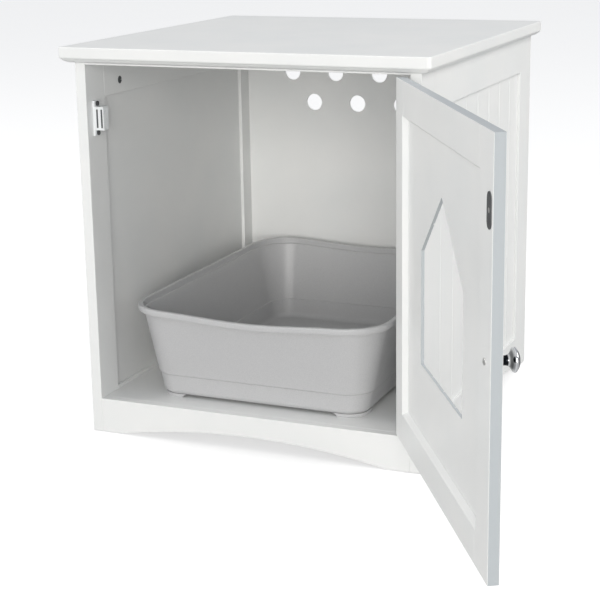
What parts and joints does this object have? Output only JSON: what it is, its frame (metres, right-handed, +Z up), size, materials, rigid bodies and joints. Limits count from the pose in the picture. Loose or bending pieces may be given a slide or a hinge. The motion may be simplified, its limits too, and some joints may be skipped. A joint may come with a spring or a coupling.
{
  "type": "cat litter box cabinet",
  "caption": "White panelled cabinet that hides a litter tray: overhanging top, arched base, vented back and a hinged door with a house-shaped cat entrance.",
  "frame": {"origin": "on the ground, at the middle of the rear base rail's underside", "axes": "+X to the right and +Z up as seen from the front, +Y out of the cabinet's back; the door side faces -Y"},
  "size_m": [0.6874, 0.8708, 0.51],
  "materials": {
    "white_board": "satin white lacquer on board",
    "white_plastic": "smooth moulded",
    "tray_plastic": "fine satin moulded",
    "nickel": "nickel plated",
    "dark_steel": "dark, dull",
    "chrome": "polished",
    "zinc": "cast zinc, dull",
    "magnet": "matt sintered",
    "beech": "bare turned"
  },
  "bodies": {
    "cabinet": {"tabletop": "white_board", "moulding_front": "white_board", "moulding_right": "white_board", "moulding_left": "white_board", "right_front_stile": "white_board", "right_rear_stile": "white_board", "right_top_rail": "white_board", "right_bottom_rail": "white_board", "right_side_panel": "white_board", "left_front_stile": "white_board", "left_rear_stile": "white_board", "left_top_rail": "white_board", "left_bottom_rail": "white_board", "left_side_panel": "white_board", "front_stretcher": "white_board", "rear_stretcher": "white_board", "apron": "white_board", "rear_base_rail": "white_board", "floor_panel": "white_board", "floor_cleats": "white_board", "back_panel": "white_board", "cam_locks": "zinc", "cam_bolts": "zinc", "dowels": "beech", "upper_hinge_case_leaf": "nickel", "lower_hinge_case_leaf": "nickel", "upper_hinge_pin": "nickel", "lower_hinge_pin": "nickel", "hinge_case_screws": "nickel", "catch_body": "white_plastic", "catch_pole_plates": "dark_steel", "catch_magnet": "magnet", "catch_screws": "dark_steel"},
    "door": {"door_hinge_stile": "white_board", "door_latch_stile": "white_board", "door_top_rail": "white_board", "door_bottom_rail": "white_board", "door_panel": "white_board", "upper_hinge_door_leaf": "nickel", "lower_hinge_door_leaf": "nickel", "hinge_door_screws": "nickel", "strike_plate": "dark_steel", "strike_screw": "nickel", "knob": "chrome", "knob_screw": "nickel"},
    "tray": {"litter_tray": "tray_plastic"}
  },
  "joints": [
    {"name": "door_hinge", "type": "hinge", "parent": "cabinet", "child": "door", "pos_m": [0.2142, -0.4913, 0], "axis": [0, 0, 1], "range_deg": [-121, 54]},
    {"name": "tray_lift", "type": "slide", "parent": "cabinet", "child": "tray", "axis": [0, 0, 1], "range_m": [0, 0.15]}
  ]
}
